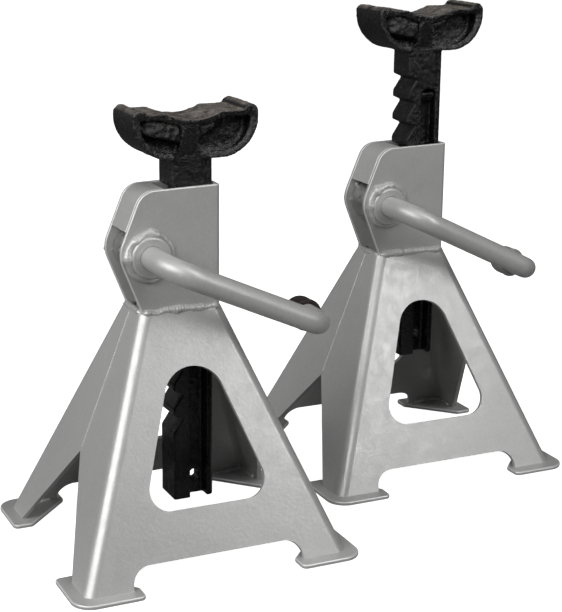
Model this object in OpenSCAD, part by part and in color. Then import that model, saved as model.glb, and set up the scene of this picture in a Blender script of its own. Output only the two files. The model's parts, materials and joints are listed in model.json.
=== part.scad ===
// A pair of ratchet axle stands. Each stand is a welded steel base of two pressed leg panels on
// four foot plates, with a folded housing on top that guides a cast-iron ratchet post and saddle.
// A bent bar handle carries the pawl that holds the post under one of its teeth.
// The origin lies on the floor, midway between the two stands. X runs along the housing's wide
// side, the handle reaches towards +X, and Z is up.

/* [Pair] */
// Distance between the two stands along X
pair_dx = 223.3; // [210:0.1:320]
// Distance between the two stands along Y
pair_dy = 84.5; // [60:0.1:160]
// Notches that stand B's post is raised above stand A's
raised_notches = 3; // [0:1:5]

/* [Base] */
// Height of the welded base, from the floor to the housing
base_h = 165; // [150:1:180]
// Width of the base across its feet, along X
base_w = 186; // [170:1:200]
// Depth of the base across its feet, along Y
base_d = 170; // [160:1:190]
// Width of the base at its top, along X
top_w = 59.4; // [59:0.2:64]
// Depth of the base at its top, along Y
top_d = 39.6; // [39.6:0.2:44]
// Thickness of the pressed steel sheet
sheet = 3; // [2:0.5:3]
// Outer radius of the bend between a leg panel's face and its flanges
bend_r = 8; // [6:0.5:10]
// Height of the point where the front and rear flanges part
notch_h = 70; // [55:1:90]
// Width of a flange at the foot
flange_w = 28; // [22:1:34]

/* [Window and arch] */
// Half the distance between the window's lower corner centres
window_half = 26.7; // [20:0.1:28]
// Distance up the panel to the window's lower corner centres
window_low = 60; // [56:1:66]
// Distance up the panel to the centre of the window's top arc
window_high = 116.6; // [108:0.1:118]
// Radius of the window's lower corners
window_corner_r = 14; // [10:0.5:15]
// Radius of the window's top arc
window_top_r = 21.5; // [16:0.5:22]
// Half the distance between the centres of the arch's corners
arch_half = 47.5; // [40:0.5:49]
// Corner radius of the arch between the legs
arch_r = 12.5; // [8:0.5:14]

/* [Foot plates] */
// Thickness of a foot plate
foot_t = 3; // [2.5:0.5:4]
// Distance that a foot plate stands out past the base along X
foot_out_x = 8.5; // [5:0.5:12]
// Distance that a foot plate stands out past the base along Y
foot_out_y = 10; // [5:0.5:12]
// Length of a foot plate along X
foot_len_x = 46.5; // [44:0.5:50]
// Length of a foot plate along Y
foot_len_y = 49; // [46:0.5:52]

/* [Housing] */
// Height of the housing at the upper left, above the floor
housing_top = 246.6; // [243:0.1:246.6]
// Outer depth of the housing along Y
housing_d = 33; // [32:0.1:33]
// Rise of the housing's top edge towards its closed right side
top_rise = 1.4; // [0:0.1:1.4]
// X of the housing's closed right side
housing_right = 28.6; // [28.2:0.1:29]
// Lower end of the strap that closes the housing's upper left edge
strap_low = 220; // [216:1:224]
// X where the strap's upper end stops, left of the post
strap_end_x = -10; // [-16:0.1:-9]

/* [Ratchet post] */
// Distance between neighbouring teeth
pitch = 17.5; // [17:0.1:17.5]
// Number of notches down the post
notches = 10; // [6:1:10]
// Width of the post along X
post_w = 29.4; // [28.6:0.1:29.4]
// Depth of the post along Y
post_d = 25; // [23:0.1:25]
// Depth of a notch
tooth_depth = 6.8; // [6:0.1:6.8]
// Thickness of the web between the post's flanges
web_t = 8; // [6:0.5:12]
// Length of the saddle along X
saddle_l = 87.6; // [82:0.1:90]
// Depth of the saddle along Y
saddle_d = 40; // [34:0.5:44]

/* [Handle and pawl] */
// Diameter of the handle's round bar
bar_d = 16; // [14:0.5:16]
// Length of the handle's arm between the axes of its two ends
arm_l = 120.8; // [110:0.1:130]
// Angle of stand A's arm below the horizontal with the pawl engaged
arm_drop_a = 24.1; // [20:0.1:27]
// Angle of stand B's arm below the horizontal with the pawl engaged
arm_drop_b = 25.9; // [20:0.1:27]
// Distance of the arm's axis in front of the stand's middle plane
arm_y = 54.5; // [50:0.5:58]
// Bend radius of the bar at its pivot end, on its axis
pivot_bend_r = 20.5; // [16:0.5:24]
// Bend radius of the bar at its grip end, on its axis
grip_bend_r = 14.5; // [12:0.5:18]
// Outer diameter of the rubber end cap
cap_d = 22.4; // [20:0.1:24]
// Diameter of the roll pin through the pawl's hub
pin_d = 5; // [4:0.5:5]

/* [Hidden] */
$fn = 64;
EPS = 0.01;

// Colours of the finishes
PAINT = [0.70, 0.70, 0.70];
HOUSING_PAINT = [0.62, 0.62, 0.62];
CAST_IRON = [0.10, 0.10, 0.11];
RUBBER = [0.15, 0.12, 0.12];
PLATED = [0.80, 0.80, 0.80];

// Base: lean of the front and side faces, and the sheet's thickness measured level
face_rise = base_h - foot_t;
face_lean = atan2((base_d - top_d) / 2, face_rise);
side_lean = atan2((base_w - top_w) / 2, face_rise);
sheet_y = sheet / cos(face_lean);
sheet_x = sheet / cos(side_lean);
// Height of the arch's corner centres up the panel
arch_low = 2;
// Depth that a cutter reaches into the leaning face and out of it
face_cut = 12;

// Foot plates: the lengths of their two square ends, and their corner radii
foot_end_x = 13.5;
foot_end_y = 14;
foot_radii = [14, 4, 3, 3, 4];

// Housing: its outline, from the lower right corner round to the top right corner
bulge = [-43.3, 205.2];
housing_corners = [
    [housing_right, base_h], [housing_right, housing_top + top_rise], [-26.3, housing_top],
    bulge, [-27.2, base_h]
];
housing_radii = [0, 0, 14, 20, 0];
tongue_half = 20;
tongue_drop = 14;
cheek_in = housing_d / 2 - sheet;
housing_bend_r = 3.2;
// X of a plane left of the whole housing
far_left = -60;

// Pivot of the handle and pawl, and the bush in each cheek
pivot = [-21.5, 203.2];
bush_flange_d = 28;
bush_flange_t = 5;
bush_spigot_d = 22;
fit = 0.06;
pin_fit = 0.02;
shaft_rear_y = 23;

// Guide plate below the pawl
guide_t = 3;
guide_gap = 0.6;
guide_h = 38;

// Post: its clearance in the housing, then its ends, teeth and flanges as stand A's post stands
slide_gap = 0.2;
post_right = housing_right - sheet - slide_gap;
post_left = post_right - post_w;
post_low = 28;
post_corner_r = 4;
tooth_edge_r = 1;
first_tooth = 247;
tooth_drop = 3;
tooth_mouth = pitch * 0.75;
toothed_flange = 12;
back_flange = 5.6;
flange_in_left = post_left + toothed_flange;
flange_in_right = post_right - back_flange;
recess_top = 236.5;
recess_corner_r = 4;
foot_hole_d = 7;
foot_hole_z = 42;

// Saddle: measured from the post's middle
saddle_x = (post_left + post_right) / 2;
saddle_low = 265.8;
saddle_shoulder = 296.3;
ear_z = 295.5;
ear_r = 5;
ear_inset = 0.4;
left_ear_drop = 1.7;
under_r = 26.7;
under_x = saddle_l / 2 - under_r;
valley_x = -2;
valley_z = 291.8;
valley_half = 19;
valley_r = (pow(valley_half, 2) + pow(saddle_shoulder - valley_z, 2)) / (2 * (saddle_shoulder - valley_z));
pocket_rim = 5;
pocket_top = 292;
pocket_roof = 4.8;
pocket_depth = 12;
column_x = -3.5;
column_half = 6.5;

// Pawl: its hub, its nose under the second tooth, and the roll pin's tilt
hub_r = 15;
hub_half = post_d / 2 - 0.1;
arm_half = 9;
nose = [post_left, first_tooth - pitch];
nose_bite = 1.7;
nose_gap = 0.3;
pin_tilt = 12;
// Corners of its arm, as distances from the nose and from the pivot
arm_above_nose = [-5, 2.2];
arm_below_nose = [-0.3, -4];
arm_low_corner = [-2.5, -8];
arm_hub_top = [-9, 12];
arm_hub_side = [14, 4];

// Grip end of the handle
cap_front_y = -26;
cap_dome_y = -14.6;

// ---------------------------------------------------------------- helpers

function unit(v) = v / norm(v);
function to_next(p, i) = unit(p[(i + 1) % len(p)] - p[i]);
function to_last(p, i) = unit(p[(i + len(p) - 1) % len(p)] - p[i]);
function half_angle(p, i) = acos(to_next(p, i) * to_last(p, i)) / 2;
// The centre of a circle of radius r in corner i of a convex outline
function corner_centre(p, i, r) = p[i] + unit(to_next(p, i) + to_last(p, i)) * r / sin(half_angle(p, i));
// The outline moved inwards by d
function inset(p, d) = [for (i = [0 : len(p) - 1]) corner_centre(p, i, d)];

// A convex outline with each corner rounded to its own radius
module rounded_outline(p, radii) {
    polygon([for (i = [0 : len(p) - 1]) each [
        p[i] + to_last(p, i) * radii[i] / tan(half_angle(p, i)),
        p[i] + to_next(p, i) * radii[i] / tan(half_angle(p, i))
    ]]);
    for (i = [0 : len(p) - 1])
        if (radii[i] > 0) translate(corner_centre(p, i, radii[i])) circle(radii[i]);
}

// Extrudes an outline drawn in X and Z along Y, from y0 to y1
module along_y(y0, y1) {
    translate([0, y1, 0]) rotate([90, 0, 0]) linear_extrude(y1 - y0) children();
}

// A cylinder along Y from y0 to y1, about a point given in X and Z
module y_cylinder(at, r, y0, y1) {
    translate([at[0], y1, at[1]]) rotate([90, 0, 0]) cylinder(r = r, h = y1 - y0);
}

// Places a stand: A has its post down, B is offset by the pair's spacing
module stand_a() { translate([-pair_dx / 2, -pair_dy / 2, 0]) children(); }
module stand_b() { translate([pair_dx / 2, pair_dy / 2, 0]) children(); }
module raised() { translate([0, 0, raised_notches * pitch]) children(); }

// ---------------------------------------------------------------- base

// A four-sided body that tapers from the feet to the top, with rounded corners
module tapered_block(inset_x, inset_y, r) {
    hull() {
        for (x = [-1, 1], y = [-1, 1]) {
            translate([x * (base_w / 2 - inset_x - r), y * (base_d / 2 - inset_y - r), foot_t])
                cylinder(r = r, h = EPS);
            translate([x * (top_w / 2 - inset_x - r), y * (top_d / 2 - inset_y - r), base_h - EPS])
                cylinder(r = r, h = EPS);
        }
    }
}

// The hollow base, all four walls
module base_walls() {
    difference() {
        tapered_block(0, 0, bend_r);
        tapered_block(sheet_x, sheet_y, bend_r - sheet);
    }
}

// Puts an outline on the front face: X stays, and Y runs up the leaning sheet
module on_front_face(depth) {
    translate([0, -base_d / 2, foot_t]) rotate([90 - face_lean, 0, 0])
        translate([0, 0, -depth]) linear_extrude(2 * depth) children();
}

// The rounded triangular window: two lower corners and a top arc, joined by their tangents
module window_outline() {
    along = [-window_half, window_high - window_low];
    tangent = atan2(along[1], along[0]) - 90 - asin((window_top_r - window_corner_r) / norm(along));
    low = [window_half + window_corner_r * cos(tangent), window_low + window_corner_r * sin(tangent)];
    high = [window_top_r * cos(tangent), window_high + window_top_r * sin(tangent)];
    bottom = window_low - window_corner_r;
    polygon([
        [-window_half, bottom], [window_half, bottom], low, high, [-high[0], high[1]], [-low[0], low[1]]
    ]);
    for (side = [-1, 1]) translate([side * window_half, window_low]) circle(window_corner_r);
    translate([0, window_high]) circle(window_top_r);
}

// The arch between the two feet of a panel
module arch_outline() {
    for (side = [-1, 1]) translate([side * arch_half, arch_low]) circle(arch_r);
    translate([-arch_half, arch_low]) square([2 * arch_half, arch_r]);
    translate([-arch_half - arch_r, arch_low - 2 * arch_r]) square([2 * (arch_half + arch_r), 2 * arch_r]);
}

// The opening between the front and rear flanges, seen from the side, as Y and Z
module side_notch() {
    foot_y = base_d / 2 - flange_w;
    rotate([90, 0, 90]) linear_extrude(2 * base_w, center = true) polygon([
        [-foot_y, foot_t - 1], [-foot_y, foot_t], [0, notch_h], [foot_y, foot_t], [foot_y, foot_t - 1]
    ]);
}

// One pressed panel: a face with its window and arch, and a flange bent back on each side
module leg_panel() {
    color(PAINT) difference() {
        base_walls();
        translate([-base_w, 0, -EPS]) cube([2 * base_w, base_d, 2 * base_h]);
        side_notch();
        on_front_face(face_cut) window_outline();
        on_front_face(face_cut) arch_outline();
    }
}

module front_leg_panel() { leg_panel(); }
module rear_leg_panel() { mirror([0, 1, 0]) leg_panel(); }

// One foot plate, drawn for the front left leg: five sides, the inner corner cut off
module foot_plate() {
    left = -base_w / 2 - foot_out_x;
    front = -base_d / 2 - foot_out_y;
    color(PAINT) linear_extrude(foot_t) rounded_outline([
        [left, front], [left + foot_len_x, front], [left + foot_len_x, front + foot_end_y],
        [left + foot_end_x, front + foot_len_y], [left, front + foot_len_y]
    ], foot_radii);
}

module front_left_foot_plate() { foot_plate(); }
module front_right_foot_plate() { mirror([1, 0, 0]) foot_plate(); }
module rear_left_foot_plate() { mirror([0, 1, 0]) foot_plate(); }
module rear_right_foot_plate() { mirror([1, 0, 0]) mirror([0, 1, 0]) foot_plate(); }

// ---------------------------------------------------------------- housing

// Two cheeks and the closed right side, folded from one sheet, with a tongue down into the base
module ratchet_housing() {
    half = housing_d / 2;
    color(HOUSING_PAINT) difference() {
        union() {
            intersection() {
                along_y(-half, half) rounded_outline(housing_corners, housing_radii);
                linear_extrude(housing_top + top_rise + 1) rounded_outline(
                    [[far_left, -half], [housing_right, -half], [housing_right, half], [far_left, half]],
                    [0, housing_bend_r, housing_bend_r, 0]
                );
            }
            translate([-tongue_half, -half, base_h - tongue_drop])
                cube([2 * tongue_half, housing_d, tongue_drop + 1]);
        }
        translate([far_left, -cheek_in, base_h - tongue_drop - 1])
            cube([housing_right - sheet - far_left, 2 * cheek_in, housing_top]);
        y_cylinder(pivot, bush_spigot_d / 2 + fit, -half - 1, half + 1);
    }
}

// The bent strap between the cheeks, flush with their upper left edges
module housing_strap() {
    color(HOUSING_PAINT) intersection() {
        along_y(-cheek_in, cheek_in) difference() {
            rounded_outline(housing_corners, housing_radii);
            rounded_outline(inset(housing_corners, sheet), [for (r = housing_radii) max(r - sheet, 0)]);
        }
        translate([far_left, -cheek_in, strap_low])
            cube([strap_end_x - far_left, 2 * cheek_in, housing_top]);
    }
}

// The plate inside the housing that keeps the post upright below the pawl
module post_guide() {
    color(HOUSING_PAINT) translate([post_left - guide_gap - guide_t, -cheek_in, base_h - tongue_drop])
        cube([guide_t, 2 * cheek_in, guide_h]);
}

// A bush drawn for the front cheek: a flange outside the cheek and a spigot through it
module pivot_bush() {
    half = housing_d / 2;
    chamfer = 1;
    color(PAINT) difference() {
        union() {
            y_cylinder(pivot, bush_flange_d / 2, -half - bush_flange_t + chamfer, -half);
            translate([pivot[0], -half - bush_flange_t + chamfer, pivot[1]]) rotate([90, 0, 0])
                cylinder(r1 = bush_flange_d / 2, r2 = bush_flange_d / 2 - chamfer, h = chamfer);
            y_cylinder(pivot, bush_spigot_d / 2, -half - chamfer, -cheek_in);
        }
        y_cylinder(pivot, bar_d / 2 + fit, -half - bush_flange_t - 1, -cheek_in + 1);
    }
}

module front_pivot_bush() { pivot_bush(); }
module rear_pivot_bush() { mirror([0, 1, 0]) pivot_bush(); }

// ---------------------------------------------------------------- ratchet post

// The post's side view: a straight right edge and a row of saw teeth on the left
module post_outline() {
    teeth = [for (k = [notches - 1 : -1 : 0]) each [
        [post_left, first_tooth - k * pitch - tooth_mouth],
        [post_left + tooth_depth, first_tooth - k * pitch - tooth_drop],
        [post_left, first_tooth - k * pitch]
    ]];
    polygon(concat(
        [[post_left, post_low]], teeth,
        [[post_left, saddle_low + pocket_rim], [post_right, saddle_low + pocket_rim], [post_right, post_low]]
    ));
}

// The recess between the flanges, on both faces, with rounded upper corners
module web_recess() {
    for (y = [[-post_d, -web_t / 2], [web_t / 2, post_d]]) along_y(y[0], y[1]) rounded_outline([
        [flange_in_left, 0], [flange_in_right, 0], [flange_in_right, recess_top], [flange_in_left, recess_top]
    ], [0, 0, recess_corner_r, recess_corner_r]);
}

// The saddle's side view: a round underside, a shallow valley on top and an ear at each end
module saddle_outline() {
    ear_x = saddle_l / 2 - ear_r - ear_inset;
    translate([saddle_x, 0]) difference() {
        union() {
            intersection() {
                under_shape(0);
                translate([-saddle_l, 0]) square([2 * saddle_l, saddle_shoulder]);
            }
            translate([ear_x, ear_z]) circle(ear_r);
            translate([-ear_x, ear_z - left_ear_drop]) circle(ear_r);
        }
        valley_shape(0);
    }
}

// The round that forms the valley, and the pockets' roofs at a distance under it
module valley_shape(roof) {
    translate([valley_x, valley_z + valley_r]) circle(valley_r + roof);
}

// The saddle's round underside, moved inwards by a rim's width
module under_shape(rim) {
    for (side = [-1, 1]) translate([side * under_x, saddle_low + under_r]) circle(under_r - rim);
    translate([-under_x, saddle_low + rim]) square([2 * under_x, under_r]);
}

// The hollows under the saddle's wings, on both faces
module saddle_pockets() {
    half = saddle_d / 2;
    for (y = [[-half - 1, pocket_depth - half], [half - pocket_depth, half + 1]])
        along_y(y[0], y[1]) translate([saddle_x, 0]) difference() {
            intersection() {
                under_shape(pocket_rim);
                translate([-saddle_l, 0]) square([2 * saddle_l, pocket_top]);
            }
            translate([column_x - column_half, 0]) square([2 * column_half, 2 * pocket_top]);
            valley_shape(pocket_roof);
        }
}

// Post, neck and saddle in one casting
module ratchet_post() {
    color(CAST_IRON) difference() {
        union() {
            intersection() {
                along_y(-post_d / 2, post_d / 2) post_outline();
                linear_extrude(saddle_low + pocket_rim) rounded_outline([
                    [post_left, -post_d / 2], [post_right, -post_d / 2],
                    [post_right, post_d / 2], [post_left, post_d / 2]
                ], [tooth_edge_r, post_corner_r, post_corner_r, tooth_edge_r]);
            }
            along_y(-saddle_d / 2, saddle_d / 2) saddle_outline();
        }
        web_recess();
        saddle_pockets();
        y_cylinder([(flange_in_left + flange_in_right) / 2, foot_hole_z], foot_hole_d / 2, -post_d, post_d);
    }
}

// ---------------------------------------------------------------- handle and pawl

// Everything that turns with the handle is drawn about the pivot's axis
module at_pivot() { translate([pivot[0], 0, pivot[1]]) children(); }

// A quarter of a ring of round bar, from the -X axis to the -Y axis about the origin
module bar_bend(r) {
    rotate([0, 0, 180]) rotate_extrude(angle = 90) translate([r, 0]) circle(bar_d / 2);
}

// The hole for the roll pin, or the pin itself, across the hub
module across_hub(d, length) {
    rotate([0, 90 + pin_tilt, 0]) cylinder(d = d, h = length, center = true);
}

// The bent bar: pivot shaft, arm and grip end lie in one plane, which hangs by the drop angle
module release_handle(drop) {
    r = bar_d / 2;
    color(PAINT) at_pivot() difference() {
        rotate([0, drop, 0]) {
            y_cylinder([0, 0], r, pivot_bend_r - arm_y, shaft_rear_y);
            translate([pivot_bend_r, pivot_bend_r - arm_y, 0]) bar_bend(pivot_bend_r);
            translate([pivot_bend_r, -arm_y, 0]) rotate([0, 90, 0])
                cylinder(r = r, h = arm_l - pivot_bend_r - grip_bend_r);
            translate([arm_l - grip_bend_r, grip_bend_r - arm_y, 0]) rotate([0, 0, 90])
                bar_bend(grip_bend_r);
            y_cylinder([arm_l, 0], r, grip_bend_r - arm_y, cap_dome_y);
        }
        across_hub(pin_d + 2 * pin_fit, 2 * hub_r);
    }
}

// The rubber cap pushed over the grip end, with a domed end
module handle_end_cap(drop) {
    color(RUBBER) at_pivot() rotate([0, drop, 0]) difference() {
        union() {
            y_cylinder([arm_l, 0], cap_d / 2, cap_front_y, cap_dome_y);
            translate([arm_l, cap_dome_y, 0]) sphere(cap_d / 2);
        }
        y_cylinder([arm_l, 0], bar_d / 2, cap_front_y - 1, cap_dome_y);
    }
}

// The pawl's side view beyond its hub: a strut that ends in a nose under a tooth
module pawl_arm_outline() {
    tip = nose + [nose_bite, -nose_bite * tooth_drop / tooth_depth - nose_gap];
    polygon([
        tip, nose + arm_above_nose, pivot + arm_hub_top, pivot, pivot + arm_hub_side,
        nose + arm_low_corner, nose + arm_below_nose
    ]);
}

// The pawl: a hub on the handle's shaft and the arm that props up the post
module ratchet_pawl() {
    color(PLATED) difference() {
        union() {
            y_cylinder(pivot, hub_r, -hub_half, hub_half);
            along_y(-arm_half, arm_half) pawl_arm_outline();
        }
        y_cylinder(pivot, bar_d / 2 + pin_fit, -hub_half - 1, hub_half + 1);
        at_pivot() across_hub(pin_d + 2 * pin_fit, 4 * hub_r);
    }
}

// The roll pin that fixes the pawl to the shaft
module pawl_roll_pin() {
    color(PLATED) at_pivot() across_hub(pin_d, 2 * hub_r - 1);
}

// ---------------------------------------------------------------- the pair

stand_a() front_leg_panel();  // front_leg_panel_a
stand_a() rear_leg_panel();  // rear_leg_panel_a
stand_a() front_left_foot_plate();  // front_left_foot_plate_a
stand_a() front_right_foot_plate();  // front_right_foot_plate_a
stand_a() rear_left_foot_plate();  // rear_left_foot_plate_a
stand_a() rear_right_foot_plate();  // rear_right_foot_plate_a
stand_a() ratchet_housing();  // ratchet_housing_a
stand_a() housing_strap();  // housing_strap_a
stand_a() post_guide();  // post_guide_a
stand_a() front_pivot_bush();  // front_pivot_bush_a
stand_a() rear_pivot_bush();  // rear_pivot_bush_a
stand_a() ratchet_post();  // ratchet_post_a
stand_a() release_handle(arm_drop_a);  // release_handle_a
stand_a() handle_end_cap(arm_drop_a);  // handle_end_cap_a
stand_a() ratchet_pawl();  // ratchet_pawl_a
stand_a() pawl_roll_pin();  // pawl_roll_pin_a

stand_b() front_leg_panel();  // front_leg_panel_b
stand_b() rear_leg_panel();  // rear_leg_panel_b
stand_b() front_left_foot_plate();  // front_left_foot_plate_b
stand_b() front_right_foot_plate();  // front_right_foot_plate_b
stand_b() rear_left_foot_plate();  // rear_left_foot_plate_b
stand_b() rear_right_foot_plate();  // rear_right_foot_plate_b
stand_b() ratchet_housing();  // ratchet_housing_b
stand_b() housing_strap();  // housing_strap_b
stand_b() post_guide();  // post_guide_b
stand_b() front_pivot_bush();  // front_pivot_bush_b
stand_b() rear_pivot_bush();  // rear_pivot_bush_b
stand_b() raised() ratchet_post();  // ratchet_post_b
stand_b() release_handle(arm_drop_b);  // release_handle_b
stand_b() handle_end_cap(arm_drop_b);  // handle_end_cap_b
stand_b() ratchet_pawl();  // ratchet_pawl_b
stand_b() pawl_roll_pin();  // pawl_roll_pin_b
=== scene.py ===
"""A pair of ratchet axle stands: the visible model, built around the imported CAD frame."""

import json
import math

import bmesh
import bpy
import numpy as np
from mathutils import Matrix, Vector, noise


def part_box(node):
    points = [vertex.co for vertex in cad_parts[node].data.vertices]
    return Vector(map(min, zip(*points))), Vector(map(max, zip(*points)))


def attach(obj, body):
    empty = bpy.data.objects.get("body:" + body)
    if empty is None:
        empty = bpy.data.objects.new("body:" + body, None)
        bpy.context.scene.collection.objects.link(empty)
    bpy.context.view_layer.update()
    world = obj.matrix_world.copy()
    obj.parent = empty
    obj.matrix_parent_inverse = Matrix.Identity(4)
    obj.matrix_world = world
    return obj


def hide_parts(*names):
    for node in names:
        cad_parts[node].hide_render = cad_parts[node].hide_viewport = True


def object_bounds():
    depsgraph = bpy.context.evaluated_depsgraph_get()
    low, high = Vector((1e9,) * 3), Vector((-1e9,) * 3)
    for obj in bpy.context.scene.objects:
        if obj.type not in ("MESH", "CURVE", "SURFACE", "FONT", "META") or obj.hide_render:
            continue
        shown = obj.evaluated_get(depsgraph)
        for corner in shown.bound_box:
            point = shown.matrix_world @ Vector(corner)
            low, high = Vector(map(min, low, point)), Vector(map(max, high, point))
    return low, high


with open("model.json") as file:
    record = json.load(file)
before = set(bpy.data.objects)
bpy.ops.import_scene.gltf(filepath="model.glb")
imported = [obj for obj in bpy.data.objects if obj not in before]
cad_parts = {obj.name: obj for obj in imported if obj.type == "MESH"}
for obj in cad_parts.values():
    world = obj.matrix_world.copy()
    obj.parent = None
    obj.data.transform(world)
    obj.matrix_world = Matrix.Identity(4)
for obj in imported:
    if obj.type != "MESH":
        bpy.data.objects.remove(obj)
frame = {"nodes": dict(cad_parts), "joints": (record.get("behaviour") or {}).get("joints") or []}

cad_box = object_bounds()

MM = 0.001
STANDS = ("a", "b")
JOINTS = {joint["name"]: joint for joint in frame["joints"]}
NODES = frame["nodes"]

# ------------------------------------------------------------------ places, all read from the frame


def stand_origin(stand):
    """The point on the floor under the middle of a stand."""
    low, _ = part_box(f"front_left_foot_plate_{stand}")
    _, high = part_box(f"rear_right_foot_plate_{stand}")
    return Vector(((low.x + high.x) / 2, (low.y + high.y) / 2, 0))


def pivot_point(stand):
    """The point on the handle's hinge axis in the stand's middle plane."""
    return Vector(JOINTS[f"handle_{stand}_hinge"]["pos_m"])


# ------------------------------------------------------------------ material helpers


class Shader:
    """A node tree with one Principled shader, built up by short calls."""

    def __init__(self, name):
        self.material = bpy.data.materials.new(name)
        self.material.use_nodes = True
        self.tree = self.material.node_tree
        self.shader = self.tree.nodes["Principled BSDF"]
        coordinates = self.tree.nodes.new("ShaderNodeTexCoord")
        self.place = coordinates.outputs["Object"]

    def set(self, **values):
        for name, value in values.items():
            self.shader.inputs[name.replace("_", " ")].default_value = value
        return self

    def link(self, source, target):
        self.tree.links.new(source, target)

    def fill(self, target, value):
        """Sets an input to a value, or links it to a socket."""
        if isinstance(value, (int, float)):
            target.default_value = value
        else:
            self.link(value, target)

    def noise(self, scale, detail=3.0, roughness=0.5, distortion=0.0):
        node = self.tree.nodes.new("ShaderNodeTexNoise")
        node.inputs["Scale"].default_value = scale
        node.inputs["Detail"].default_value = detail
        node.inputs["Roughness"].default_value = roughness
        node.inputs["Distortion"].default_value = distortion
        self.link(self.place, node.inputs["Vector"])
        return node.outputs["Fac"]

    def remap(self, source, low, high, to_low, to_high):
        node = self.tree.nodes.new("ShaderNodeMapRange")
        for name, value in zip(("From Min", "From Max", "To Min", "To Max"), (low, high, to_low, to_high)):
            self.fill(node.inputs[name], value)
        self.link(source, node.inputs["Value"])
        return node.outputs["Result"]

    def mix(self, factor, first, second):
        """Mixes two colours, each a value or a socket, by a socket."""
        node = self.tree.nodes.new("ShaderNodeMix")
        node.data_type = "RGBA"
        self.link(factor, node.inputs["Factor"])
        for name, value in (("A", first), ("B", second)):
            sockets = [s for s in node.inputs if s.name == name and s.type == "RGBA"]
            if isinstance(value, tuple):
                sockets[0].default_value = (*value, 1.0)
            else:
                self.link(value, sockets[0])
        return [s for s in node.outputs if s.type == "RGBA"][0]

    def attribute(self, name):
        node = self.tree.nodes.new("ShaderNodeAttribute")
        node.attribute_name = name
        return node.outputs["Fac"]

    def bump(self, layers):
        """Chains bump nodes: (height socket, strength value or socket, distance in metres) for each."""
        normal = None
        for height, strength, distance in layers:
            node = self.tree.nodes.new("ShaderNodeBump")
            self.fill(node.inputs["Strength"], strength)
            node.inputs["Distance"].default_value = distance
            self.link(height, node.inputs["Height"])
            if normal is not None:
                self.link(normal, node.inputs["Normal"])
            normal = node.outputs["Normal"]
        self.link(normal, self.shader.inputs["Normal"])
        return self

    def drive(self, **sockets):
        for name, socket in sockets.items():
            self.link(socket, self.shader.inputs[name.replace("_", " ")])
        return self


EDGE = "edge_wear_and_highlight"
DUST_AND_HIGHLIGHT = "dust_and_highlight"
SAND = "sand_cast"
RIM_GLINT = "rim"


def silver_paint(name, tone, roughness, metal):
    """Metallic grey paint: fine flake, soft blotches, and brighter paint on rounded edges, a painted
    highlight there as well as thinner paint.
    """
    s = Shader(name)

    def shade(factor):
        return tuple(min(1.0, factor * c) for c in tone)

    blotch = s.remap(s.noise(26, 4, 0.6), 0.32, 0.68, 0.0, 1.0)
    grain = s.remap(s.noise(420, 3, 0.6), 0.35, 0.65, 0.0, 1.0)
    flake = s.remap(s.noise(1400, 2, 0.6), 0.38, 0.66, 0.0, 1.0)
    base = s.mix(blotch, shade(0.95), shade(1.03))
    grained = s.mix(s.remap(grain, 0, 1, 0.0, 0.5), base, shade(1.12))
    speck = s.mix(s.remap(flake, 0, 1, 0.0, 0.6), grained, shade(0.86))
    # Painted highlight: faces marked in the edge attribute get a brighter paint colour
    edged = s.mix(s.attribute(EDGE), speck, shade(1.45))
    s.set(Metallic=metal, Coat_Weight=0.15, Coat_Roughness=0.28)
    gloss = s.remap(s.noise(140, 3), 0.3, 0.7, roughness - 0.05, roughness + 0.06)
    s.drive(Base_Color=edged, Roughness=gloss)
    s.bump([
        (s.noise(420, 3, 0.55), 0.14, 0.0006),
        (s.noise(1700, 2, 0.5), 0.26, 0.00015),
        (s.noise(30, 3, 0.5), 0.16, 0.0020),
    ])
    return s.material


def black_casting(name):
    """Gloss black paint over rough sand-cast iron, with dust on the high spots that is partly a painted
    highlight, and painted glints along the rims.
    """
    s = Shader(name)
    grain = s.noise(330, 6, 0.65, 0.4)
    coarse = s.noise(110, 5, 0.6, 0.8)
    tint = s.mix(s.remap(coarse, 0.35, 0.7, 0.0, 1.0), (0.0025, 0.0025, 0.003), (0.007, 0.0065, 0.007))
    # Painted glints: pale specks where the rim attribute is set
    painted_glints = s.remap(s.noise(520, 4, 0.7), 0.52, 0.66, 0.0, s.attribute(RIM_GLINT))
    specks = s.mix(s.remap(grain, 0.58, 0.74, 0.0, 0.35), tint, (0.05, 0.047, 0.046))
    specks = s.mix(painted_glints, specks, (0.16, 0.155, 0.15))
    # Lighter where the dust attribute is set: dust, and painted highlight on the top and along the pockets'
    # front edges
    dust_and_highlight_tone = s.mix(s.attribute(DUST_AND_HIGHLIGHT), specks, (0.28, 0.25, 0.225))
    s.set(Metallic=0.0, Specular_IOR_Level=0.6)
    s.drive(Base_Color=dust_and_highlight_tone, Roughness=s.remap(coarse, 0.3, 0.7, 0.16, 0.34))
    sandy = s.remap(s.attribute(SAND), 0, 1, 0.22, 0.9)
    s.bump([(coarse, sandy, 0.0018), (grain, sandy, 0.0010), (s.noise(900, 3, 0.6), 0.4, 0.0002)])
    return s.material


def rubber_material(name, dark, pale):
    """Matt rubber between two tones."""
    s = Shader(name)
    tone = s.mix(s.remap(s.noise(120, 4), 0.35, 0.7, 0.0, 1.0), dark, pale)
    s.drive(Base_Color=tone, Roughness=s.remap(s.noise(90, 3), 0.3, 0.7, 0.55, 0.75))
    s.bump([(s.noise(700, 3, 0.6), 0.3, 0.0003)])
    return s.material


def machined_steel(name):
    s = Shader(name)
    tone = s.mix(s.remap(s.noise(60, 4), 0.3, 0.7, 0.0, 1.0), (0.42, 0.42, 0.43), (0.58, 0.58, 0.57))
    s.set(Metallic=0.85)
    s.drive(Base_Color=tone, Roughness=s.remap(s.noise(300, 3), 0.3, 0.7, 0.3, 0.5))
    s.bump([(s.noise(800, 3, 0.5), 0.2, 0.0002)])
    return s.material


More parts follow.
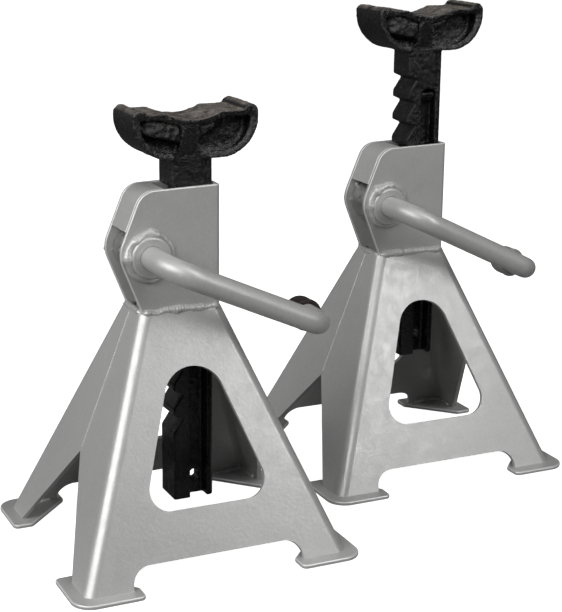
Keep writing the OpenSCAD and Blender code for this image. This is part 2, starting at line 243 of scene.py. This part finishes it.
def floor_material(name):
    s = Shader(name)
    s.set(Roughness=0.6, Emission_Color=(1.0, 1.0, 1.0, 1.0), Emission_Strength=1.0)
    s.drive(Base_Color=s.mix(s.noise(3, 2), (0.93, 0.93, 0.93), (0.95, 0.95, 0.95)))
    return s.material


def card_material(name):
    s = Shader(name)
    s.set(Roughness=0.8, Specular_IOR_Level=0.0)
    s.drive(Base_Color=s.mix(s.noise(3, 2), (0.74, 0.74, 0.74), (0.78, 0.78, 0.78)))
    return s.material


BASE_PAINT = silver_paint("base_silver_paint", (0.55, 0.55, 0.545), 0.33, 0.3)
HOUSING_PAINT = silver_paint("housing_silver_paint", (0.575, 0.575, 0.565), 0.40, 0.3)
HANDLE_PAINT = silver_paint("handle_silver_paint", (0.58, 0.58, 0.57), 0.42, 0.3)
CASTING = black_casting("black_casting")
RUBBERS = {
    "a": rubber_material("cap_rubber", (0.020, 0.013, 0.013), (0.045, 0.030, 0.029)),
    "b": rubber_material("oversprayed_rubber", (0.30, 0.30, 0.295), (0.40, 0.40, 0.39)),
}
STEEL = machined_steel("pawl_steel")

# ------------------------------------------------------------------ mesh helpers


def add_object(name, mesh, material, body):
    """Links a mesh as a piece of the object, shaded smooth, riding on a CAD body."""
    obj = bpy.data.objects.new(name, mesh)
    bpy.context.scene.collection.objects.link(obj)
    mesh.materials.clear()
    mesh.materials.append(material)
    mesh.shade_smooth()
    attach(obj, body)
    return obj


def weld_copy(node):
    """A CAD node's mesh as a bmesh with its split corners joined and its flat faces whole."""
    bm = bmesh.new()
    bm.from_mesh(NODES[node].data)
    bmesh.ops.remove_doubles(bm, verts=bm.verts, dist=2e-6)
    bmesh.ops.dissolve_limit(bm, angle_limit=math.radians(0.7), verts=bm.verts, edges=bm.edges)
    return bm


def finished(node, body, material, bevel, wear_and_highlight=1.0, segments=2, sharp_angle=24):
    """A CAD node again with its sharp edges rounded; the rounded faces are marked for a painted edge
    highlight and thinner paint.
    """
    bm = weld_copy(node)
    sharp = [e for e in bm.edges if e.is_manifold and e.calc_face_angle() > math.radians(sharp_angle)]
    made = bmesh.ops.bevel(
        bm, geom=sharp, offset=bevel, offset_type="OFFSET", segments=segments, profile=0.5,
        affect="EDGES", clamp_overlap=True,
    )
    rounded = set(made["faces"])
    layer = bm.loops.layers.float.new(EDGE)
    for face in bm.faces:
        for loop in face.loops:
            loop[layer] = wear_and_highlight if face in rounded else 0.0
    mesh = bpy.data.meshes.new(node + "_finish")
    bm.to_mesh(mesh)
    bm.free()
    obj = add_object(node + ".finish", mesh, material, body)
    weighted = obj.modifiers.new("even normals", "WEIGHTED_NORMAL")
    weighted.keep_sharp = True
    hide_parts(node)
    return obj


def sweep(name, points, radius_at, sides=20, closed=False):
    """A tube along points. radius_at(i, angle) gives the radius at ring i in metres."""
    count = len(points)
    rings = []
    previous = None
    for i, point in enumerate(points):
        ahead = points[(i + 1) % count] if closed or i < count - 1 else point
        behind = points[(i - 1) % count] if closed or i > 0 else point
        tangent = (ahead - behind).normalized()
        if previous is None:
            helper = Vector((0, 0, 1)) if abs(tangent.z) < 0.8 else Vector((1, 0, 0))
            side = tangent.cross(helper).normalized()
        else:
            side = (previous - tangent * previous.dot(tangent)).normalized()
        previous = side
        up = tangent.cross(side)
        ring = []
        for k in range(sides):
            angle = 2 * math.pi * k / sides
            ring.append(point + (side * math.cos(angle) + up * math.sin(angle)) * radius_at(i, angle))
        rings.append(ring)
    bm = bmesh.new()
    vertices = [[bm.verts.new(p) for p in ring] for ring in rings]
    spans = count if closed else count - 1
    for i in range(spans):
        here, there = vertices[i], vertices[(i + 1) % count]
        for k in range(sides):
            bm.faces.new((here[k], here[(k + 1) % sides], there[(k + 1) % sides], there[k]))
    if not closed:
        bm.faces.new(list(reversed(vertices[0])))
        bm.faces.new(vertices[-1])
    bmesh.ops.recalc_face_normals(bm, faces=bm.faces)
    mesh = bpy.data.meshes.new(name)
    bm.to_mesh(mesh)
    bm.free()
    return mesh


def resample(points, step, closed=False):
    """Points evenly spaced along a polyline."""
    if closed:
        points = points + [points[0]]
    lengths = [(b - a).length for a, b in zip(points, points[1:])]
    total = sum(lengths)
    count = max(3, round(total / step))
    made = []
    for i in range(count if closed else count + 1):
        target = total * i / count
        k = 0
        while k < len(lengths) - 1 and target > lengths[k]:
            target -= lengths[k]
            k += 1
        made.append(points[k].lerp(points[k + 1], min(1.0, target / lengths[k])))
    return made


BEAD_STEP = 0.6 * MM
RIPPLE = 2.1 * MM
BUSH_WELD_R = 2.8 * MM
HOUSING_WELD_R = 2.7 * MM
LEFT_WELD_R = 2.3 * MM
RIGHT_WELD_R = 1.6 * MM
SEAM_WELD_R = 1.0 * MM
FOOT_WELD_R = 1.8 * MM
# How far above the foot plates the side flanges start to meet
NOTCH_RISE = 68 * MM


def even(share):
    """A bead of the same girth all along."""
    return 1.0


def weld_bead(
    name, points, radius, body, seed, closed=False, girth=even, lumps=0.3, housing=False, wave=0.05,
):
    """A weld bead along points: ripples from each drop, an uneven width, and ends that taper."""
    path = resample(points, BEAD_STEP, closed)
    count = len(path)
    shift = Vector((seed * 7.1, seed * 3.3, 0))

    def radius_at(i, angle):
        ripple = 1 + wave * math.cos(2 * math.pi * i * BEAD_STEP / RIPPLE + 0.8 * math.sin(angle))
        spot = path[i] * 120 + shift + Vector((0, 0, 0.5 * math.sin(angle)))
        uneven = 1 + lumps * noise.noise(spot) + 0.4 * lumps * noise.noise(spot * 2.7)
        end = 1.0
        if not closed:
            end = min(1.0, 0.3 + min(i, count - 1 - i) * BEAD_STEP / (1.4 * radius))
        return radius * ripple * uneven * end * girth(i / count)

    mesh = sweep(name, path, radius_at, sides=14, closed=closed)
    material, slot = (HOUSING_PAINT, "housing_paint") if housing else (BASE_PAINT, "base_paint")
    return add_object(name, mesh, material, body)


def lathe(name, profile, centre, axis, sides=64):
    """Turns a profile of (distance along axis, radius) about an axis, closed where the radius is 0."""
    axis = axis.normalized()
    helper = Vector((0, 0, 1))
    side = axis.cross(helper).normalized()
    up = axis.cross(side)
    bm = bmesh.new()
    rings = []
    for along, radius in profile:
        if radius < 1e-7:
            rings.append([bm.verts.new(centre + axis * along)])
            continue
        rings.append([
            bm.verts.new(centre + axis * along + (side * math.cos(a) + up * math.sin(a)) * radius)
            for a in (2 * math.pi * k / sides for k in range(sides))
        ])
    for here, there in zip(rings, rings[1:]):
        for k in range(sides):
            n = (k + 1) % sides
            corners = [here[k % len(here)], here[n % len(here)],
                       there[n % len(there)], there[k % len(there)]]
            corners = list(dict.fromkeys(corners))
            if len(corners) > 2:
                bm.faces.new(corners)
    bmesh.ops.recalc_face_normals(bm, faces=bm.faces)
    mesh = bpy.data.meshes.new(name)
    bm.to_mesh(mesh)
    bm.free()
    return mesh


# ------------------------------------------------------------------ base and housing

PLAIN_NODES = {
    # node: (slot, material, bevel radius in mm)
    "front_leg_panel": ("base_paint", BASE_PAINT, 1.0),
    "rear_leg_panel": ("base_paint", BASE_PAINT, 1.0),
    "front_left_foot_plate": ("base_paint", BASE_PAINT, 0.9),
    "front_right_foot_plate": ("base_paint", BASE_PAINT, 0.9),
    "rear_left_foot_plate": ("base_paint", BASE_PAINT, 0.9),
    "rear_right_foot_plate": ("base_paint", BASE_PAINT, 0.9),
    "ratchet_housing": ("housing_paint", HOUSING_PAINT, 0.8),
    "housing_strap": ("housing_paint", HOUSING_PAINT, 0.6),
    "post_guide": ("housing_paint", HOUSING_PAINT, 0.4),
    "front_pivot_bush": ("housing_paint", HOUSING_PAINT, 0.5),
    "rear_pivot_bush": ("housing_paint", HOUSING_PAINT, 0.5),
}


def build_base(stand):
    for name, (slot, material, bevel) in PLAIN_NODES.items():
        # Rounded edges get a painted highlight, faint on the bushes
        wear_and_highlight = 0.1 if "bush" in name else 1.0
        finished(f"{name}_{stand}", f"stand_{stand}_frame", material, bevel * MM, wear_and_highlight)


def half_width_at_top(node, middle_x):
    """Half the width of a leg panel along its top edge."""
    _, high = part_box(node)
    edge = [v.co.x for v in NODES[node].data.vertices if v.co.z > high.z - 0.5 * MM]
    return max(edge) - middle_x


def build_welds(stand):
    """Beads round the bushes, under the housing, down the side seams and inside the feet."""
    body = f"stand_{stand}_frame"
    origin = stand_origin(stand)
    pivot = pivot_point(stand)
    housing_low, housing_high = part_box(f"ratchet_housing_{stand}")
    panel_low, panel_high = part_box(f"front_leg_panel_{stand}")
    bush_low, bush_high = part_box(f"front_pivot_bush_{stand}")
    seed = 11 if stand == "a" else 29
    ring_r = (bush_high.x - bush_low.x) / 2 + 1.3 * MM
    top_z = panel_high.z

    # Round each bush: thick over the left and the top, thin on the right
    for face, side in (("front", -1), ("rear", 1)):
        y = housing_low.y - 0.9 * MM if side < 0 else housing_high.y + 0.9 * MM
        ring = [
            Vector((pivot.x + ring_r * math.cos(a), y, pivot.z + ring_r * math.sin(a)))
            for a in (2 * math.pi * k / 72 for k in range(72))
        ]

        def lobed(share):
            blobs = sum(size * band(share - at, 0.03)
                        for at, size in ((0.24, 0.3), (0.37, 0.4), (0.50, 0.35)))
            return 0.80 + 0.22 * math.cos(2 * math.pi * (share - 0.42)) + blobs

        weld_bead(
            f"{face}_bush_weld_{stand}", ring, BUSH_WELD_R, body, seed + side, True, lobed, 0.5, True, 0.02,
        )

    # Along the housing's foot, front and rear, with a blob at the right end, and across its two sides
    half_x = (housing_high.x - origin.x) - 1.5 * MM
    for face, y in (("front", housing_low.y - 1.1 * MM), ("rear", housing_high.y + 1.1 * MM)):
        seam = [Vector((origin.x + side * half_x, y, top_z + 0.3 * MM)) for side in (-1, 1)]
        weld_bead(
            f"{face}_housing_weld_{stand}", seam, HOUSING_WELD_R, body, seed + 3, False,
            lambda share: 1 + 1.6 * max(0.0, share - 0.84), 0.45, True, 0.08,
        )
    left = origin.x - half_x - 0.6 * MM
    seam = [Vector((left, y, top_z - 0.2 * MM)) for y in (housing_low.y + 1 * MM, housing_high.y - 1 * MM)]
    weld_bead(f"left_housing_weld_{stand}", seam, LEFT_WELD_R, body, seed + 5, lumps=0.5)
    right = housing_high.x - 0.6 * MM
    seam = [Vector((right, y, top_z - 0.1 * MM)) for y in (housing_low.y + 1 * MM, housing_high.y - 1 * MM)]
    weld_bead(f"right_housing_weld_{stand}", seam, RIGHT_WELD_R, body, seed + 6)

    # Down each side, where the two panels' flanges meet
    foot_half = (panel_high.x - panel_low.x) / 2
    top_half = half_width_at_top(f"front_leg_panel_{stand}", origin.x)
    notch_z = panel_low.z + NOTCH_RISE
    for side in (-1, 1):
        seam = []
        for z in (notch_z, top_z - 1.5 * MM):
            half = foot_half + (top_half - foot_half) * (z - panel_low.z) / (top_z - panel_low.z)
            seam.append(Vector((origin.x + side * (half - 0.35 * MM), origin.y, z)))
        word = "left" if side < 0 else "right"
        weld_bead(f"{word}_seam_weld_{stand}", seam, SEAM_WELD_R, body, seed + 8 + side, lumps=0.2)

    # Inside each foot, an L-shaped fillet between the leg and its plate
    foot_front = origin.y - panel_low.y
    for x_side in (-1, 1):
        for y_side in (-1, 1):
            wall_x = foot_half - 4.2 * MM
            wall_y = foot_front - 4.3 * MM
            corner = 5 * MM
            path = [Vector((wall_x, wall_y - 20 * MM, 0))]
            for k in range(7):
                a = math.pi / 2 * k / 6
                path.append(Vector((
                    wall_x - corner + corner * math.cos(a), wall_y - corner + corner * math.sin(a), 0
                )))
            path.append(Vector((wall_x - 25 * MM, wall_y, 0)))
            placed = [origin + Vector((x_side * p.x, y_side * p.y, panel_low.z + 0.6 * MM)) for p in path]
            word = ("left" if x_side < 0 else "right", "front" if y_side < 0 else "rear")
            weld_bead(
                f"{word[1]}_{word[0]}_foot_weld_{stand}", placed, FOOT_WELD_R, body,
                seed + 12 + x_side + 2 * y_side, lumps=0.4,
            )


# ------------------------------------------------------------------ ratchet post casting


def smoothstep(low, high, value):
    t = np.clip((value - low) / (high - low), 0, 1)
    return t * t * (3 - 2 * t)


def noise_field(points, scale, seed):
    """Fractal noise, about -1 to 1, at each point (in mm), for features of about 1/scale mm."""
    shift = Vector((seed * 13.7, seed * 5.1, seed * 9.3))
    return np.array([noise.fractal(Vector(p) * scale + shift, 0.9, 2.1, 4) for p in points])


VOXEL = 0.75 * MM


def remeshed(node, name):
    """A CAD node's mesh remade as even quads."""
    bm = weld_copy(node)
    mesh = bpy.data.meshes.new(name)
    bm.to_mesh(mesh)
    bm.free()
    obj = bpy.data.objects.new(name, mesh)
    bpy.context.scene.collection.objects.link(obj)
    remesh = obj.modifiers.new("voxels", "REMESH")
    remesh.mode = "VOXEL"
    remesh.voxel_size = VOXEL
    graph = bpy.context.evaluated_depsgraph_get()
    made = bpy.data.meshes.new_from_object(obj.evaluated_get(graph))
    bpy.data.objects.remove(obj)
    return made


def relax(mesh, weights, rounds):
    """Moves each vertex towards the mean of its neighbours by its weight, several times."""
    count = len(mesh.vertices)
    edges = np.empty(len(mesh.edges) * 2, np.int32)
    mesh.edges.foreach_get("vertices", edges)
    edges = edges.reshape(-1, 2)
    co = np.empty(count * 3)
    mesh.vertices.foreach_get("co", co)
    co = co.reshape(-1, 3)
    degree = np.bincount(edges.ravel(), minlength=count)[:, None]
    for _ in range(rounds):
        total = np.zeros_like(co)
        np.add.at(total, edges[:, 0], co[edges[:, 1]])
        np.add.at(total, edges[:, 1], co[edges[:, 0]])
        co = co + weights[:, None] * (total / np.maximum(degree, 1) - co)
    mesh.vertices.foreach_set("co", co.ravel())
    mesh.update()


# Saddle casting, in mm: x from the post's middle, z down from the ear tops, y from the middle plane
SADDLE_BOTTOM = -34.7
FACE_Y = 20.0
FLOOR_Y = 8.0
NECK_X = 14.7
NECK_Y = 12.5
SMOOTH_FROM, SMOOTH_TO = -100.0, -140.0
COLUMN = (-10.0, 3.0)
VALLEY_X, VALLEY_Z, ROOF_R = -2.0, 33.66, 47.16
POCKET_TOP = -8.5
UNDER_X, UNDER_Z, POCKET_R = 17.1, -8.0, 21.7
WEB = (-2.7, 9.1)
WEB_TOP = -64.0

# Each casting's own unevenness: the seed, the left lip's height, and the right lump's slope
CASTS = {"a": (3, -18.6, 0.43), "b": (17, -21.0, 0.60)}


def band(distance, width):
    return np.exp(-((distance / width) ** 2))


def pocket_clearance(x, z):
    """How far a point lies inside the outline of the pockets, in mm; negative outside."""
    column = np.maximum(COLUMN[0] - x, x - COLUMN[1])
    roof = np.hypot(x - VALLEY_X, z - VALLEY_Z) - ROOF_R
    under = POCKET_R - np.hypot(np.maximum(np.abs(x) - UNDER_X, 0), np.minimum(z - UNDER_Z, 0))
    return np.minimum.reduce([column, roof, POCKET_TOP - z, under])


def pocket_fill(x, z, lip_z, slope, rough, lumpy):
    """How far the casting's rough fill comes out from a pocket's floor, in mm, beside the column."""
    lip = lip_z - 0.22 * (x + 34) + 0.9 * rough
    ends = 0.6 + 0.4 * smoothstep(-37, -32, x)
    steep = np.clip((POCKET_TOP - z) / (POCKET_TOP - lip), 0, 1)
    left = ends * (7.8 + 2.8 * steep + 1.6 * lumpy) * smoothstep(lip - 0.9, lip + 0.3, z)
    edge = -22.0 + slope * (x - 2) + 1.0 * rough
    right = (9.0 + 1.6 * lumpy) * smoothstep(edge - 1.4, edge + 1.0, z) * (1 - smoothstep(11, 24, x))
    return np.where(x < COLUMN[0], left, right)


def web_fill(x, z, rough, lumpy):
    """The lip under the top of the post's recess, and the rough skin of its web, in mm."""
    inside = smoothstep(WEB[0] - 0.2, WEB[0] + 0.6, x) * (1 - smoothstep(WEB[1] - 0.6, WEB[1] + 0.2, x))
    drop = WEB_TOP - z
    lip = smoothstep(1.4, 2.4, drop) * (1 - smoothstep(4.0, 14.0, drop))
    return inside * (z < WEB_TOP) * (6.8 * lip * (1 + 0.1 * rough) + 0.25 * lumpy)


def build_post(stand):
    node = f"ratchet_post_{stand}"
    low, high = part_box(node)
    seed, lip_z, slope = CASTS[stand]
    mesh = remeshed(node, node + "_casting")
    count = len(mesh.vertices)
    centre = np.array([(low.x + high.x) / 2, stand_origin(stand).y, high.z])

    def read(what="co"):
        values = np.empty(count * 3)
        mesh.vertices.foreach_get(what, values)
        values = values.reshape(-1, 3)
        return values if what == "normal" else (values - centre) / MM

    def write(points):
        mesh.vertices.foreach_set("co", (points * MM + centre).ravel())
        mesh.update()

    p, normal = read(), read("normal")
    x, y, z = p[:, 0], p[:, 1], p[:, 2]
    saddle = smoothstep(SADDLE_BOTTOM - 3, SADDLE_BOTTOM + 1, z)
    clear = pocket_clearance(x, z)
    face = np.sign(y)
    rough = noise_field(p, 0.16, seed)
    lumpy = noise_field(p, 0.34, seed + 4)
    fine = noise_field(p, 0.6, seed + 5)

    # The pockets' lower walls fall away behind their front edges
    wall = band(clear, 0.7) * (normal[:, 2] > 0.35) * (z < POCKET_TOP - 3) * saddle
    z = z - 3.2 * wall * smoothstep(0.3, 7.0, FACE_Y - np.abs(y))

    # The pockets' rough fill, and the lip in the post's recess
    inside = saddle * smoothstep(-0.7, 0.3, clear)
    depth = np.clip((FACE_Y - np.abs(y)) / (FACE_Y - FLOOR_Y), 0, 1) ** 1.5
    y = y + face * pocket_fill(x, z, lip_z, slope, rough, lumpy) * inside * depth
    y = y + face * web_fill(x, z, rough, lumpy) * (np.abs(y) < NECK_Y - 4)

    # The rims and the column round over into the pockets
    brow = saddle * smoothstep(-3.2, 0.2, clear) * (np.abs(y) > FACE_Y - 2.5) * (clear < 0.8)
    y = y - face * 1.7 * brow
    write(np.stack([x, y, z], axis=1))
    relax(mesh, 0.22 + 0.28 * saddle, 3)
    soft = saddle * band(clear, 2.2) * smoothstep(-1.0, 1.5, np.minimum(FACE_Y + 1 - np.abs(y), 2))
    relax(mesh, 0.5 * soft, 7)

    # The neck flares forward into the column between the pockets
    p = read()
    x, y, z = p[:, 0], p[:, 1], p[:, 2]
    column = smoothstep(-16.0, -12.0, x) * (1 - smoothstep(5.0, 10.5, x))
    limit = NECK_Y + (FACE_Y - NECK_Y) * smoothstep(SADDLE_BOTTOM + 1, -11.0, z)
    over = np.maximum(np.abs(y) - limit, 0) * column * (z > SADDLE_BOTTOM - 1.5)
    y = y - face * over

    # A shallow groove sets the rounded back strip off from the post's faces
    front = (np.abs(y) > NECK_Y - 1) * (z < SADDLE_BOTTOM - 1) * (z > WEB_TOP - 1)
    y = y - face * 0.9 * band(x - WEB[1] - 0.9, 0.9) * front
    write(np.stack([x, y, z], axis=1))
    junction = band(z - SADDLE_BOTTOM, 3.0) * (np.abs(x) < 17)
    relax(mesh, 0.3 * saddle + 0.5 * junction * (1 - saddle), 4)

    # A rough skin: uneven on the saddle, and only ever inwards on the post
    p, normal = read(), read("normal")
    rim = saddle * smoothstep(-16, -10, z) * (np.abs(normal[:, 1]) > 0.3)
    skin = (0.30 + 0.25 * rim) * rough + (0.16 + 0.16 * rim) * fine - 0.1
    side = smoothstep(0.5, 0.9, np.abs(normal[:, 0])) * (np.abs(p[:, 0]) > 22)
    skin = skin * (1 - 0.7 * side)
    skin = skin * saddle - (0.06 * (1 + rough) + 0.04 * (1 + fine)) * (1 - saddle)
    p = p + normal * skin[:, None]
    p[:, 2] = np.minimum(p[:, 2], 0)
    # Under the saddle nothing but the post itself reaches lower, so that it can close onto the housing
    beside = np.maximum(np.abs(p[:, 0]) - NECK_X, np.abs(p[:, 1]) - NECK_Y) > 0
    under = beside & (p[:, 2] > SADDLE_BOTTOM - 6)
    p[:, 2] = np.where(under, np.maximum(p[:, 2], SADDLE_BOTTOM), p[:, 2])
    write(p)

    # Dust lies on the saddle's top, lighter, and is in part a painted highlight there; a painted highlight
    # runs along the pockets' front edges
    dust_and_highlight = mesh.attributes.new(DUST_AND_HIGHLIGHT, "FLOAT", "POINT")
    top_dust_and_highlight = (smoothstep(0.55, 0.95, normal[:, 2]) * (z > -16)
               * np.clip(0.6 + 0.5 * rough + 0.3 * fine, 0, 1))
    edge = saddle * band(clear + 0.3, 0.6) * (np.abs(y) > FACE_Y - 2.2)
    pocket_edge_highlight = edge * np.clip(-0.05 + 0.9 * fine, 0, 0.32)
    dust_and_highlight.data.foreach_set("value", np.maximum(top_dust_and_highlight, pocket_edge_highlight).astype(np.float32))
    # Painted glints: a mask for pale specks, strongest along the pockets' rims on the front faces
    edges = saddle * (0.25 + 0.6 * band(clear + 1.2, 2.6)) * (np.abs(normal[:, 1]) > 0.25)
    glint_attribute = mesh.attributes.new(RIM_GLINT, "FLOAT", "POINT")
    glint_attribute.data.foreach_set("value", np.clip(edges * (0.7 + 0.6 * rough), 0, 0.8).astype(np.float32))
    sand = mesh.attributes.new(SAND, "FLOAT", "POINT")
    sand.data.foreach_set("value", smoothstep(SMOOTH_TO, SMOOTH_FROM, p[:, 2]).astype(np.float32))
    obj = add_object(f"post_casting_{stand}", mesh, CASTING, f"post_{stand}")
    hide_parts(node)


# ------------------------------------------------------------------ handle, cap and pawl

BAR_R = 8 * MM
PIVOT_BEND = 20.5 * MM
GRIP_BEND = 14.5 * MM
SHAFT_CHAMFER = 0.8 * MM
GRIP_IN_CAP = 9 * MM
CAP_LIP = 0.9 * MM


def handle_measures(stand):
    """The handle's plane and lengths, from the boxes of its CAD nodes."""
    pivot = pivot_point(stand)
    low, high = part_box(f"release_handle_{stand}")
    cap_low, cap_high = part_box(f"handle_end_cap_{stand}")
    cap = (cap_low + cap_high) / 2
    reach = Vector((cap.x - pivot.x, 0, cap.z - pivot.z))
    return {
        "pivot": pivot,
        "out": reach.normalized(),
        "arm": reach.length,
        "arm_y": low.y + BAR_R,
        "rear_y": high.y,
        "cap_front": cap_low.y,
        "cap_rear": cap_high.y,
        "cap_r": (cap_high.x - cap_low.x) / 2,
    }


def arc_points(centre, radius, start, end, out, count=14):
    """Points on a bend in the handle's plane, spanned by out and the Y axis."""
    made = []
    for k in range(count + 1):
        a = math.radians(start + (end - start) * k / count)
        made.append(centre + out * (radius * math.cos(a)) + Vector((0, radius * math.sin(a), 0)))
    return made


def build_handle(stand):
    m = handle_measures(stand)
    out, pivot = m["out"], m["pivot"]

    def at(along, y):
        return Vector((pivot.x, y, pivot.z)) + out * along

    first = arc_points(at(PIVOT_BEND, m["arm_y"] + PIVOT_BEND), PIVOT_BEND, 180, 270, out)
    second = arc_points(at(m["arm"] - GRIP_BEND, m["arm_y"] + GRIP_BEND), GRIP_BEND, 270, 360, out)
    inset = SHAFT_CHAMFER
    end_y = m["cap_front"] + GRIP_IN_CAP
    corners = [at(0, m["rear_y"] - inset), *first, *second, at(m["arm"], end_y)]
    path = []
    for a, b in zip(corners, corners[1:]):
        steps = max(1, round((b - a).length / (1.6 * MM)))
        path += [a.lerp(b, k / steps) for k in range(steps)]
    path.append(corners[-1])
    # A rounded chamfer at the shaft's rear end
    rear = Vector((0, 1, 0))
    path = [path[0] + rear * inset, path[0] + rear * 0.5 * inset, *path]
    shrink = {0: 1 - inset / BAR_R, 1: 1 - 0.3 * inset / BAR_R}
    middles = (first[len(first) // 2], second[len(second) // 2])

    def radius_at(i, angle):
        bend = max(math.exp(-(((path[i] - c).length / (9 * MM)) ** 2)) for c in middles)
        flat = 1 - 0.02 * bend * (1 + math.cos(2 * angle))
        wave = 1 - 0.004 * (1 + noise.noise(path[i] * 70))
        return BAR_R * shrink.get(i, 1.0) * flat * wave

    name = f"bent_bar_{stand}"
    mesh = sweep(name, path, radius_at, sides=48)
    obj = add_object(name, mesh, HANDLE_PAINT, f"handle_{stand}")
    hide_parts(f"release_handle_{stand}")


def build_cap(stand):
    m = handle_measures(stand)
    centre = Vector((m["pivot"].x, 0, m["pivot"].z)) + m["out"] * m["arm"]
    front, rear, r = m["cap_front"], m["cap_rear"], m["cap_r"]
    lip = CAP_LIP
    profile = [(front + 8 * MM, 0.0), (front + 8 * MM, BAR_R * 0.99), (front + 0.5 * MM, BAR_R * 1.004)]
    profile += [(front, BAR_R + 0.5 * MM), (front, r - lip)]
    for k in range(1, 7):
        a = math.pi / 2 * k / 6
        profile.append((front + lip * (1 - math.cos(a)), r - lip + lip * math.sin(a)))
    profile += [(front + 2.2 * MM, r), (front + 3.0 * MM, r - 0.35 * MM), (rear - r - 1 * MM, r - 0.3 * MM)]
    for k in range(0, 15):
        a = math.pi / 2 * k / 14
        profile.append((rear - r + r * math.sin(a), (r - 0.3 * MM) * math.cos(a)))
    profile[-1] = (rear, 0.0)
    name = f"rubber_cap_{stand}"
    mesh = lathe(name, profile, centre, Vector((0, 1, 0)))
    obj = add_object(name, mesh, RUBBERS[stand], f"handle_{stand}")
    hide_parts(f"handle_end_cap_{stand}")


def build_pawl(stand):
    body = f"handle_{stand}"
    finished(f"ratchet_pawl_{stand}", body, STEEL, 0.6 * MM)
    finished(f"pawl_roll_pin_{stand}", body, STEEL, 0.4 * MM)


# ------------------------------------------------------------------ camera, floor and lights

VIEW_AZIMUTH = 25.35
VIEW_ELEVATION = 15.48
VIEW_ROLL = 0.61
VIEW_DISTANCE = 1.1324
VIEW_SHIFT = Vector((-12.5, -4.4, -33.4)) * MM
LENS = 92.0
SENSOR_WIDTH = 36


def build_camera():
    low, high = cad_box
    aim = (low + high) / 2 + VIEW_SHIFT
    turn = Matrix.Rotation(math.radians(-VIEW_AZIMUTH), 4, "Z")
    turn = turn @ Matrix.Rotation(math.radians(90 - VIEW_ELEVATION), 4, "X")
    turn = turn @ Matrix.Rotation(math.radians(VIEW_ROLL), 4, "Z")
    data = bpy.data.cameras.new("camera")
    data.lens = LENS
    data.sensor_width = SENSOR_WIDTH
    data.clip_start = 0.01
    data.clip_end = 50
    camera = bpy.data.objects.new("camera", data)
    bpy.context.scene.collection.objects.link(camera)
    camera.matrix_world = Matrix.Translation(aim) @ turn @ Matrix.Translation((0, 0, VIEW_DISTANCE))
    bpy.context.scene.camera = camera


FLOOR_HALF = 12.0
CARD_R = 0.45
WALL_R = 10.0
WALL_HEIGHT = 6.0


def build_floor():
    bm = bmesh.new()
    bmesh.ops.create_grid(bm, x_segments=1, y_segments=1, size=FLOOR_HALF)
    mesh = bpy.data.meshes.new("floor")
    bm.to_mesh(mesh)
    bm.free()
    mesh.materials.append(floor_material("floor_white"))
    floor = bpy.data.objects.new("floor", mesh)
    bpy.context.scene.collection.objects.link(floor)
    # The camera sees a white table, which throws no light back up under the stands
    floor.visible_diffuse = False
    floor.visible_glossy = False

    # A white wall all round, for the camera alone
    bm = bmesh.new()
    bmesh.ops.create_cone(bm, segments=64, radius1=WALL_R, radius2=WALL_R, depth=2 * WALL_HEIGHT)
    mesh = bpy.data.meshes.new("backdrop")
    bm.to_mesh(mesh)
    bm.free()
    mesh.materials.append(floor_material("backdrop_white"))
    wall = bpy.data.objects.new("backdrop", mesh)
    bpy.context.scene.collection.objects.link(wall)
    for sight in ("diffuse", "glossy", "transmission", "volume_scatter", "shadow"):
        setattr(wall, f"visible_{sight}", False)

    # A small white card under the stands is all that shows in the paint
    bm = bmesh.new()
    bmesh.ops.create_circle(bm, cap_ends=True, segments=48, radius=CARD_R)
    mesh = bpy.data.meshes.new("floor_card")
    bm.to_mesh(mesh)
    bm.free()
    mesh.materials.append(card_material("card_white"))
    card = bpy.data.objects.new("floor_card", mesh)
    bpy.context.scene.collection.objects.link(card)
    card.location.z = -0.5 * MM
    card.visible_camera = False
    card.visible_shadow = False


LIGHTS = {
    # name: (azimuth, elevation, distance, width, height, power); azimuth 0 is in front, on -Y, 90 is on +X
    "top": (0, 80, 1.7, 1.1, 1.1, 2.0),
    "front_strip": (29, 36, 2.2, 0.45, 1.8, 16.5),
    "front_high": (-15, 52, 2.2, 1.2, 1.2, 4.5),
    "left": (-68, 30, 2.0, 1.8, 1.2, 30.0),
    "left_back": (-150, 14, 2.4, 1.6, 1.6, 1.5),
}
WORLD_STRENGTH = 0.05


def softbox(name, place, aim, width, height, power):
    """An upright softbox at a place, turned towards a point."""
    data = bpy.data.lights.new(name, "AREA")
    data.shape = "RECTANGLE"
    data.size = width
    data.size_y = height
    data.energy = power
    light = bpy.data.objects.new(name, data)
    bpy.context.scene.collection.objects.link(light)
    light.location = place
    light.rotation_euler = (aim - place).to_track_quat("-Z", "Y").to_euler()
    return light


def build_lights():
    world = bpy.data.worlds.new("studio")
    bpy.context.scene.world = world
    world.use_nodes = True
    background = world.node_tree.nodes["Background"]
    background.inputs["Color"].default_value = (1.0, 1.0, 1.0, 1.0)
    background.inputs["Strength"].default_value = WORLD_STRENGTH
    aim = (cad_box[0] + cad_box[1]) / 2
    for name, (azimuth, elevation, distance, width, height, power) in LIGHTS.items():
        a, e = math.radians(azimuth), math.radians(elevation)
        out = Vector((math.sin(a) * math.cos(e), -math.cos(a) * math.cos(e), math.sin(e)))
        softbox(name, aim + out * distance, aim, width, height, power)


for letter in STANDS:
    build_base(letter)
    build_welds(letter)
    build_post(letter)
    build_handle(letter)
    build_cap(letter)
    build_pawl(letter)
build_camera()
build_floor()
build_lights()
bpy.context.scene.view_settings.view_transform = "Standard"
